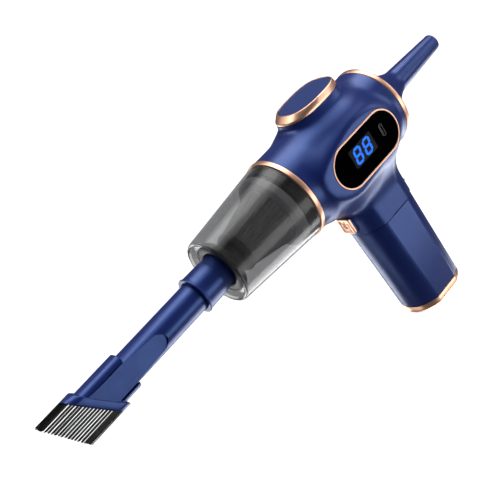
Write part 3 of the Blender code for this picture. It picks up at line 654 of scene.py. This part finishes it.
def build_handle():
    """The sleeve, whose nose leans forward, and the metal cap under it."""
    outline = handle_outline()
    low, wall = float(BOX["handle_sleeve"][0][2]), 1.8
    levels = edge_levels(low, SEAM, 0.5) + [(wall, SEAM), (wall, low)]
    verts, faces = skin(stack(outline, levels), loop=True)
    on_nose = verts[:, 0] < -6
    verts[:, 0] -= np.where(on_nose, nose_lean(verts[:, 2]), 0)
    add_mesh("handle_sleeve_skin", verts, faces, BLUE, "body", ["handle_sleeve"], "blue_plastic", 30)

    levels = [(3.1, 0.0), (2.6, 0.05), (1.3, 0.8), (0.35, 2.1), (0.05, 2.7), (0.0, 3.1)]
    levels += [(0.0, CAP - 0.3), (0.1, CAP - 0.08), (0.3, CAP), (3.4, CAP), (3.4, 3.4)]
    verts, faces = skin(stack(outline, levels))
    cap = add_mesh("base_cap_skin", verts, faces, GOLD, None)
    for i in (1, 2):
        hole = circle(2.6, 28) + (MIDDLES[f"base_screw_{i}"][0], 0)
        cut(cap, tool(stack(hole, ((0, -1), (0, 10)))))
    finished(cap, GOLD, "body", ["base_cap"], 30)


def build_screws():
    """Screw heads with a crossed drive, in place of the plain ones."""
    for name in [n for n in BOX if "screw" in n]:
        low, high = BOX[name]
        centre = MIDDLES[name]
        down = name.startswith("base")
        head = centre[2] - low[2] if down else high[1] - centre[1]
        levels = [(0, -head), (0, head - 0.5), (0.15, head - 0.15), (0.45, head)]
        screw = add_mesh(name + "_head", *skin(stack(circle(2.3, 32), levels)), STEEL, None)
        for half_a, half_b in ((1.5, 0.38), (0.38, 1.5)):
            drive = rounded_rectangle(half_a, half_b, 0.1, 2)
            cut(screw, tool(stack(drive, ((0.05, head - 1.1), (0, head + 1)))))
        turn = Matrix.Rotation(math.pi, 4, "X") if down else Matrix.Rotation(-math.pi / 2, 4, "X")
        screw.data.transform(Matrix.Translation(Vector(centre) * MM) @ turn)
        finished(screw, STEEL, "body", [name], 30)


# ------------ trims, top and button

def trim_ring(end, low_x, high_x, outer, inner, soft):
    corners = [(low_x, inner), (low_x, outer), (high_x, outer), (high_x, inner)]
    lathe(end + "_trim_skin", softened(corners, [0, soft, soft, 0]), GOLD, "body", [end + "_trim_ring"],
          "rose_gold", sides=192)


def build_trims():
    front, rear = BOX["front_trim_ring"], BOX["rear_trim_ring"]
    trim_ring("front", front[0][0], front[1][0] + 0.2, 31.0, 27.2, 0.7)
    trim_ring("rear", rear[0][0] - 0.2, rear[1][0], 30.7, 27.3, 1.2)


def build_top():
    """The stub's bezel, whose side leans in to a smaller rim, and the plate in it."""
    top = float(BOX["top_bezel"][1][2])
    bezel, rim, plate = oval(STUB_X, 24.3, 17.7, 2.6), oval(-2.7, 21.8, 17.2), oval(-2.5, 20.4, 15.9)
    rings = stack(bezel, ((0.5, CROWN - 1), (0.25, CROWN), (0, CROWN + 0.25)))
    side = softened([(0, CROWN + 0.5), (0, CROWN + 1.5), (1, top - 0.35)], [0, 0.7, 0], 6, closed=False)
    rings += [upright(bezel * (1 - t) + rim * t, z) for t, z in side]
    rings += stack(rim, ((0.25, top - 0.1), (0.6, top)))
    rings += stack(plate, ((-0.35, top - 0.02), (-0.2, top - 0.2), (-0.15, top - 1.5), (-0.15, CROWN - 1)))
    add_mesh("top_bezel_skin", *skin(rings, loop=True), GOLD, "body", ["top_bezel"], "rose_gold", 35)
    levels = [(0, CROWN + 0.4), (0, top - 0.75), (0.06, top - 0.5), (0.25, top - 0.35), (0.5, top - 0.3)]
    middle = [upright(scaled(plate, share), top - 0.3) for share in (0.9, 0.6, 0.3, 0.1)]
    add_mesh("top_plate_skin", *skin(stack(plate, levels) + middle), BLUE_SATIN, "body", ["top_plate"],
             "blue_plastic", 30)


def build_button():
    """A metal face on a blue base, with the power mark in the face's dish."""
    low, high = BOX["power_button"]
    face, edge = low[0], 0.8
    outline = rounded_rectangle(high[1] - 0.5, (high[2] - low[2]) / 2, 1.5, 6)
    rear = high[0] - 1.2  # leaves room behind it for the press
    levels = [(0.15, rear), (0.15, face + 1.9), (1.0, face + 1.9)]
    add_mesh("power_button_base", *skin(stack(outline, levels, on_front)), BLUE, "button", (),
             "blue_plastic", 35)
    levels = [(0.1, face + 1.85), (0, face + 1.75), (0, face + edge)]
    turns = np.linspace(0, np.pi / 2, 5)
    levels += [(edge * (1 - math.cos(t)), face + edge * (1 - math.sin(t))) for t in turns]
    levels += [(1.5, face), (1.75, face + 0.1), (1.95, face + 0.35), (2.4, face + 0.4)]
    add_mesh("power_button_skin", *skin(stack(outline, levels, on_front)), GOLD, "button",
             ["power_button"], "rose_gold", 35)

    radius, half = 2.7, 0.36  # the mark: an open ring, and a bar through its gap
    turns = np.radians(np.linspace(40, 320, 41))
    around = np.c_[np.sin(turns), np.cos(turns)]
    ring = np.vstack([(radius + half) * around, (radius - half) * around[::-1]])
    bar = rounded_rectangle(half, 1.7, 0.3, 4) + (0, 2.3)
    levels = ((0, face + 0.5), (0, face + 0.2), (0.12, face + 0.08))
    for name, shape in (("power_mark_ring", ring), ("power_mark_bar", bar)):
        add_mesh(name, *skin(stack(shape, levels, on_front)), GOLD, "button", (), "rose_gold", 35)


# ------------ display

def segment(length, width):
    """One bar of a seven-segment digit, with pointed ends, along the first axis."""
    tip, half = length / 2, width / 2
    shoulder = tip - half
    return np.array([(-tip, 0), (-shoulder, -half), (shoulder, -half), (tip, 0), (shoulder, half),
                     (-shoulder, half)])


def digit(centre_x, centre_z, wide, high, width, lean):
    """The seven bars of an 8 as outlines in XZ."""
    bars = []
    for level in (-1, 0, 1):
        bars.append(segment(wide - 0.15 * width, width) + (0, level * high / 2))
    for side in (-1, 1):
        for level in (-1, 1):
            upright_bar = segment(high / 2 - 0.15 * width, width)[:, ::-1]
            bars.append(upright_bar + (side * wide / 2, level * high / 4))
    return [np.c_[b[:, 0] + lean * b[:, 1] + centre_x, b[:, 1] + centre_z] for b in bars]


def build_display():
    """The metal bezel, the black window, the port set in it and the lit digits behind it."""
    low, high = BOX["display_bezel"]
    outer = slot(PANEL_X, PANEL_Z, PANEL_HALF_X, PANEL_HALF_Z, 48)
    face, rear = low[1], high[1]
    levels = [(0, rear), (0, face + 0.55), (0.06, face + 0.25), (0.25, face + 0.05), (0.5, face),
              (0.85, face + 0.02), (1.15, face + 0.15), (1.3, face + 0.4), (1.3, rear)]
    add_mesh("display_bezel_skin", *skin(stack(outer, levels, sideways), loop=True), GOLD, "body",
             ["display_bezel"], "rose_gold", 40)

    low, high = BOX["display_window"]
    window_face = low[1]
    levels = [(1.38, high[1]), (1.38, window_face + 0.25), (1.42, window_face + 0.1), (1.6, window_face)]
    window = add_mesh("display_window_skin", *skin(stack(outer, levels, sideways)), GLASS, None)
    port_rear = BOX["usb_port"][1][1]
    port_x, port_z = MIDDLES["usb_port"][[0, 2]]
    opening, shell = (slot(port_z, port_x, 4.47 + gap, 1.63 + gap, 20)[::-1, ::-1] for gap in (0.15, 0))
    cut(window, tool(stack(opening, ((0, -60), (0, -20)), sideways)))
    finished(window, GLASS, "body", ["display_window"], 35)

    front = window_face + 0.05
    levels = [(0, port_rear), (0, front + 0.12), (0.05, front), (0.14, front), (0.2, front + 0.12),
              (0.2, port_rear - 0.8)]
    add_mesh("usb_port_skin", *skin(stack(shell, levels, sideways)), PORT, "body", ["usb_port"], "steel", 35)

    led_x, led_z = MIDDLES["display_module"][[0, 2]]
    mask = rounded_rectangle(11.5, 6.65, 0.6) + (led_x, led_z)
    levels = ((0, window_face + 0.3), (0, window_face - 0.02), (0.1, window_face - 0.04))
    add_mesh("display_mask", *skin(stack(mask, levels, sideways)), DIM, "body", (), "display_glass", 35)
    verts, faces = [], []
    levels = ((0, window_face + 0.2), (0, window_face - 0.07), (0.12, window_face - 0.1))
    for centre in (-5.2, 4.6):
        for bar in digit(led_x + centre, led_z, wide=5.6, high=9.7, width=1.65, lean=0.17):
            bar_verts, bar_faces = skin(stack(bar, levels, sideways))
            faces += [tuple(i + len(verts) for i in f) for f in bar_faces]
            verts += list(bar_verts)
    add_mesh("display_digits", verts, faces, DIGITS, "body", ["display_module"], "display_light", 35)


# ------------ cup and filter

def build_cup():
    """The cup, with a dished front about its mouth, and a black ring in it that is painted shade round the
    collar's root.
    """
    low, high = BOX["dust_cup"]
    front, rear = low[0], high[0]
    mouth, lip = 12.7, 24.3
    outer = [(rear, 28.4), (rear, 30.2), (front + 1.4, lip + 0.1), (front, lip - 0.6),
             (front + 0.4, lip - 1.6), (front + 2.6, 20.5), (front + 4.4, 16.0), (front + 4.7, mouth)]
    inner = [(front + 5.7, mouth), (front + 5.4, 16.1), (front + 3.6, 20.7), (front + 1.8, lip - 1.9),
             (front + 2.8, lip - 0.9)]
    soft = [0.2, 0.5, 1.4, 0.6, 0.6, 2.5, 1.5, 0.4, 0.4, 1.5, 2.5, 0.5, 0.9]
    lathe("dust_cup_skin", softened(outer + inner, soft, 5), SMOKE, "cup", ["dust_cup"], "smoke_plastic",
          sides=160)
    # Painted shade: a black ring that stands in for the shadow where the collar enters the cup's mouth
    ring = [(front + 3.6, 12.75), (front + 2.8, 13.4), (front + 2.6, 15.6), (front + 3.4, 18.4),
            (front + 4.6, 18.6), (front + 8.6, 17.4), (front + 8.6, 12.75)]
    lathe("cup_mouth_shade_ring", softened(ring, [0.2, 0.4, 0.8, 0.6, 0.5, 0.3, 0.2], 3), BLACK, "cup", sides=96)


def build_filter():
    """The filter's frame, its pleated cloth and the cap in front."""
    frame_low = BOX["filter_frame"][0][0]
    flange = [(-62.0, 22.2), (-62.0, 23.7), (-68.3, 23.7), (-68.3, 26.6), (-73.8, 26.6), (frame_low, 21.8),
              (frame_low, 19.0), (-73.0, 19.0), (-73.0, 22.2)]
    lathe("filter_frame_skin", softened(flange, 0.4, 3), GREY, "filter", ["filter_frame"], "grey_plastic")
    pleats, cloth_rear = 44, -74.9

    def pleated(x, radius, turns):
        """Pleats that deepen over the cloth's first 3 mm."""
        depth = 0.55 * min(1.0, (cloth_rear + 0.1 - x) / 3 + 0.1)
        return radius - 0.6 + depth * np.cos(pleats * turns)

    along = np.linspace(cloth_rear, -107.3, 12)
    outer = list(zip(along, np.linspace(21.2, 14.0, 12)))
    inner = list(zip(along[::-1], np.linspace(11.6, 18.3, 12)))
    lathe("filter_element_skin", outer + inner, FILTER, "filter", ["filter_element"], "filter_fabric",
          sides=pleats * 8, wave=pleated, sharp=60)
    cap = [(-107.8, 0.01), (-107.8, 14.5), (-109.8, 14.6), (-111.9, 13.4), (-112.8, 10.5), (-113.0, 6.0),
           (-113.0, 0.01)]
    lathe("filter_cap_skin", softened(cap, [0, 0.5, 1.0, 1.2, 1.5, 2.0, 0], 4), BLACK, "filter",
          ["filter_cap"], "grey_plastic", sides=96, loop=False)


# ------------ nozzle train

def build_collar():
    low, high = BOX["inlet_collar"]
    front, rear = low[0], high[0]
    profile = [(rear, 9.0), (rear, 15.0), (rear - 1.9, 15.0), (rear - 1.9, 11.9), (-131.0, 12.1),
               (-133.0, 12.4), (front + 1.8, 12.7), (front + 1.2, 13.3), (front, 13.4), (front, 10.6),
               (-133.3, 10.5), (-133.3, 9.0)]
    soft = [0.3, 0.5, 0.3, 0.3, 0.6, 0.8, 0.4, 0.5, 0.5, 0.5, 0.2, 0.2]
    lathe("inlet_collar_skin", softened(profile, soft), BLUE, "collar", ["inlet_collar"], "blue_plastic")


# Slanted planes, by where they cross the air path: the tube's tip, and the brush band's rear and front
TIP_X, BAND_REAR_X, ROOT_X = -235.0, -234.3, -241.5
TIP_SLANT, BRISTLE_SLANT = math.radians(36), math.radians(28.4)
BRISTLE_X = -265.0  # the plane of the bristles' longest tips
FLAT_Y, FLAT_Z = 5.7, 8.6  # half width and half height at the tube's flats


def slanted(x, z, slant=TIP_SLANT):
    """Where the slanted plane through x on the air path is at height z."""
    return x - math.tan(slant) * (z - AXIS)


def sliced(x, ahead=True):
    """A block that removes what lies ahead of, or behind, the slanted plane through x."""
    low, high = AXIS - 40, AXIS + 40
    far = -60 if ahead else 60
    corners = np.array([(slanted(x, low), low), (slanted(x, low) + far, low),
                        (slanted(x, high) + far, high), (slanted(x, high), high)])
    if not ahead:
        corners = corners[::-1]
    return tool([sideways(corners, y) for y in (-30, 30)])


def build_tube():
    rear = BOX["crevice_tube"][1][0]
    uncut, beyond, radius, centre = -262.0, -275, 10.2, 0.01  # centre: the least radius, about the axis
    profile = softened([(rear, centre), (rear, radius), (uncut, radius), (uncut, centre)], [0, 0.6, 0, 0])
    tube = lathe("crevice_tube_skin", profile, BLUE, None, sides=144, loop=False)
    # The flats start with a round end, a little below the surface, and slope down to their full depth.
    starts, level_off, shallow, half, round_end = -183.0, -248.0, 8.5, 8.8, 20
    end = [(starts - round_end * (1 - math.cos(t)), AXIS + half * math.sin(t))
           for t in np.linspace(np.pi / 2, -np.pi / 2, 41)]
    outline = np.array(end + [(level_off, AXIS - half), (level_off, AXIS + half)])[::-1]
    slope = (shallow - FLAT_Y) / (starts - level_off)
    floor = FLAT_Y + slope * (outline[:, 0] - level_off)
    block = np.array([(level_off + 0.01, AXIS - 12), (level_off + 0.01, AXIS + 12), (beyond, AXIS + 12),
                      (beyond, AXIS - 12)])
    for side in (-1, 1):
        rings = [np.c_[outline[:, 0], side * floor, outline[:, 1]], sideways(outline, side * 16)]
        cut(tube, tool(rings[::-side]))
        cut(tube, tool([sideways(block, side * y) for y in (FLAT_Y, 16)][::side]))
    # The round bore narrows to a slot behind the flats.
    bore = [(rear + 2, centre), (rear + 2, 8.8), (-177.0, 8.8), (-181.5, 5.0), (-181.5, centre)]
    cut(tube, lathe("tool", bore, None, None, sides=96, loop=False))
    cut(tube, tool([across(rounded_rectangle(4.3, 7.4, 1.6), x) for x in (-178, uncut - 5)]))
    cut(tube, sliced(TIP_X))
    bevelled(tube, 0.25)
    finished(tube, BLUE, "tube", ["crevice_tube"], 35)


def build_brush():
    """The socket: a slanted band, with an arm on each side of the tube. Bristles stand in the band."""
    rear = BOX["brush_socket"][1][0]
    start, end, beyond = -200, -262, -275
    arm = rounded_rectangle(6.9, 12.8, 5.2, 10)
    socket = tool([across(moved_in(arm, 0.35), rear), across(arm, rear - 0.4), across(arm, end)])
    band = tool([across(rounded_rectangle(7.2, 15.5, 5.4, 10), x) for x in (start, beyond)])
    cut(band, sliced(BAND_REAR_X, ahead=False))
    cut(band, sliced(ROOT_X))
    bevelled(band, 0.9, 3)
    cut(socket, sliced(ROOT_X + 0.4))
    cut(socket, band, "UNION")
    sheath = tool([across(circle(10.35, 96), x) for x in (start, end)])  # room for the round tube
    cut(sheath, sliced(TIP_X - 0.2))
    cut(socket, sheath)
    window = tool([across(rounded_rectangle(14, FLAT_Z + 0.3, 0.2, 1), x) for x in (start, end)])
    cut(window, sliced(BAND_REAR_X + 0.9))
    cut(socket, window)
    cut(socket, tool([across(rounded_rectangle(3.0, 9.0, 2.4), x) for x in (start, beyond)]))
    socket.name = "brush_socket_skin"
    finished(socket, BLUE, "brush", ["brush_socket"], 35)

    # Two rows of tufts, one on each side, and a full tuft across at both ends of the rows
    rng = np.random.default_rng(7)
    verts, faces = [], []
    columns, pitch, row, half_tuft = 16, 1.91, 3.9, 0.62
    for column in range(columns):
        height = pitch * (column - (columns - 1) / 2)
        across_end = column in (0, columns - 1)
        for _ in range(90 if across_end else 34):
            if across_end:
                y = rng.uniform(-1.1, 1.1) * row
            else:
                y = rng.choice((-1, 1)) * row + rng.uniform(-0.28, 0.28)
            add_strand(verts, faces, y, height + rng.uniform(-half_tuft, half_tuft), rng)
    add_mesh("bristle_strands", verts, faces, NYLON, "brush", ["bristles"], "bristle", 60)


def add_strand(verts, faces, y, z, rng):
    """One square filament, from inside the slanted face to its tapered tip, drifting a little sideways."""
    root = slanted(ROOT_X, AXIS + z) + 0.6
    tip = slanted(BRISTLE_X, AXIS + z, BRISTLE_SLANT) + rng.uniform(0, 0.9)
    drift = rng.normal(0, 0.05, 2)
    radius, sides = 0.13, 4
    stations = ((root, 0.0, radius), (root + 0.6 * (tip - root), 0.4, radius), (tip + 0.3, 1.0, radius * 0.9),
                (tip, 1.0, radius * 0.4))
    turns = np.pi / 2 * np.arange(sides) + 0.6
    rings = [np.c_[np.full(sides, x), y + drift[0] * share + reach * np.cos(turns),
                   AXIS + z + drift[1] * share + reach * np.sin(turns)] for x, share, reach in stations]
    strand, quads = skin(rings)
    faces.extend(tuple(i + len(verts) for i in quad) for quad in quads)
    verts.extend(strand)


def build_blower():
    low, high = BOX["blower_nozzle"]
    base, tip = low[0], high[0]
    neck_x, neck_r, tip_r, base_r, cone_x = 68.5, 8.8, 6.1, 23.5, REAR + 4.6
    wall = 1.7

    def profile(inset):
        """From the tip to the base, with a cone that swells between neck and base."""
        cone = [(neck_x + (cone_x - neck_x) * share, neck_r - inset + (base_r - neck_r) * share ** 1.35)
                for share in np.linspace(0, 1, 14)]
        return [(tip, tip_r - inset)] + cone + [(base, base_r - inset)]

    soft = [0.9, 3.0] + [0] * 12 + [1.2, 0.4]
    inner_soft = [0.4] + [0] * 13 + [2.0, 0.9]
    lathe("blower_nozzle_skin", softened(profile(0) + profile(wall)[::-1], soft + inner_soft, 5), BLUE,
          "blower", ["blower_nozzle"], "blue_plastic")


def build_outlet():
    """The outlet's annular face and its grille, seen when the blower nozzle is off."""
    end = BOX["exhaust_outlet"][1][0]
    corners = [(end, 24.0), (end, 27.0), (37.0, 27.0), (36.5, 28.0), (19.0, 28.0), (19.0, 0.02),
               (21.5, 0.02), (21.5, 19.0), (29.5, 19.0), (29.5, 24.0)]
    soft = [0.4, 0.4, 0.2, 0.2, 0.3, 0, 0, 1.0, 0.4, 0.3]
    outlet = lathe("exhaust_outlet_skin", softened(corners, soft), BLUE, None, sides=96)
    for count, radius, hole_radius in ((6, 6.5, 2.3), (8, 14.0, 3.2)):
        for i in range(count):
            turn = 2 * math.pi * i / count
            hole = circle(hole_radius, 20) + (radius * math.sin(turn), radius * math.cos(turn))
            cut(outlet, tool([across(hole, x) for x in (15, 26)]))
    finished(outlet, BLUE, "body", ["exhaust_outlet"], 35)


def finish_inner_nodes():
    """Materials for the CAD pieces that are kept as they are."""
    looks = {"battery_cell": CELL, "battery_holder": BLACK, "usb_tongue": BLACK, "power_switch": BLACK,
             "switch_board": BOARD, "control_board": BOARD, "motor_can": MOTOR, "motor_mount": RUBBER,
             "motor_shaft": STEEL, "impeller": GREY, "fan_shroud": BLACK, "inlet_bulkhead": BLACK,
             "outlet_seal": RUBBER, "cup_seal": RUBBER, "motor_lead_live": LEAD_RED,
             "motor_lead_return": BLACK}
    for prefix, material in looks.items():
        for node in [n for n in BOX if n.startswith(prefix)]:
            coated(bpy.data.objects[node], material, 30)


# ------------ floor, light and camera

FLOOR_REACH = 25.0  # metres, from the middle to the rim
VIEW_BACK = Vector((-0.411, -0.816, 0.407)).normalized()  # from the object towards the camera
VIEW_RIGHT = Vector((0.619, -0.577, -0.533))
VIEW_RIGHT = (VIEW_RIGHT - VIEW_BACK * VIEW_RIGHT.dot(VIEW_BACK)).normalized()
VIEW_UP = VIEW_BACK.cross(VIEW_RIGHT)
CAMERA_PLACE = Vector((-0.3605, -0.5167, 0.389))
MIDDLE = Vector((-0.08, 0.0, 0.11))  # of the object, where the softboxes point


def build_floor():
    """A pale floor that glows a little. It sends no light up to the object, and the low softboxes shine
    through it."""
    mesh = bpy.data.meshes.new("floor")
    shape = bmesh.new()
    bmesh.ops.create_grid(shape, x_segments=8, y_segments=8, size=FLOOR_REACH)
    for vert in shape.verts:  # its rim rises, so that no view looks past it
        if max(abs(vert.co.x), abs(vert.co.y)) > FLOOR_REACH - 0.1:
            vert.co.z = FLOOR_REACH
    shape.to_mesh(mesh)
    shape.free()
    floor = bpy.data.objects.new("floor", mesh)
    bpy.context.scene.collection.objects.link(floor)
    pale = matte("pale_floor", (0.40, 0.40, 0.40), 0.6, 0.7, 40, 0.01, Emission_Color=(1, 1, 1, 1),
                 Emission_Strength=0.88)
    mesh.materials.append(pale)
    floor.visible_diffuse = floor.visible_glossy = floor.visible_shadow = False


def placed(obj, place, right, up, back):
    """Puts a light or camera at a place, looking along the opposite of back."""
    obj.matrix_world = Matrix.Translation(place) @ Matrix((right, up, back)).transposed().to_4x4()
    bpy.context.scene.collection.objects.link(obj)


def softbox(name, towards, distance, size, energy):
    """A soft area light that looks at the object, placed by its direction to the right, up and back.
    Its first size runs along the air path as far as it can."""
    right, up, back = towards
    way = (VIEW_RIGHT * right + VIEW_UP * up + VIEW_BACK * back).normalized()
    data = bpy.data.lights.new(name, "AREA")
    data.shape = "RECTANGLE"
    data.size, data.size_y = size
    data.energy = energy
    light = bpy.data.objects.new(name, data)
    light.visible_camera = False
    along = (Vector((1, 0, 0)) - way * way.x).normalized()
    placed(light, MIDDLE + way * distance, along, way.cross(along), way)


def build_light():
    """A broad overhead light, a dim world, and softboxes around the object."""
    world = bpy.data.worlds.new("studio")
    bpy.context.scene.world = world
    world.use_nodes = True
    background = world.node_tree.nodes["Background"]
    background.inputs["Color"].default_value = (0.9, 0.94, 1, 1)
    background.inputs["Strength"].default_value = 0.12
    data = bpy.data.lights.new("overhead", "SUN")
    data.energy, data.angle = 1.4, math.radians(60)
    light = bpy.data.objects.new("overhead", data)
    light.rotation_euler = Vector((-0.40, -0.05, -0.91)).to_track_quat("-Z", "Y").to_euler()
    bpy.context.scene.collection.objects.link(light)
    softbox("top_softbox", (-0.27, 0.94, 0.14), 0.9, (1.0, 0.50), 5)
    softbox("right_softbox", (0.92, 0.00, 0.39), 1.8, (1.8, 0.84), 15)
    softbox("shoulder_softbox", (0.67, 0.73, 0.11), 0.9, (0.45, 0.45), 1.3)
    softbox("left_softbox", (-0.90, 0.42, 0.05), 0.9, (0.5, 0.5), 2.5)
    softbox("low_softbox", (-0.50, -0.86, -0.05), 0.9, (0.4, 0.8), 1.5)
    softbox("back_softbox", (-0.42, -0.42, -0.80), 0.9, (0.5, 0.6), 3.5)
    softbox("rim_softbox", (0.68, -0.38, -0.62), 0.9, (0.9, 0.7), 8)
    bpy.context.scene.view_settings.view_transform = "Standard"


def build_camera():
    """The main view: from the front right, a little above, and rolled."""
    data = bpy.data.cameras.new("camera")
    data.sensor_width, data.lens = 36, 72
    data.clip_start = 0.01
    camera = bpy.data.objects.new("camera", data)
    placed(camera, CAMERA_PLACE, VIEW_RIGHT, VIEW_UP, VIEW_BACK)
    bpy.context.scene.camera = camera


build_camera()
build_floor()
build_light()
build_housing()
build_handle()
build_screws()
build_trims()
build_top()
build_button()
build_display()
build_cup()
build_filter()
build_collar()
build_tube()
build_brush()
build_blower()
build_outlet()
finish_inner_nodes()
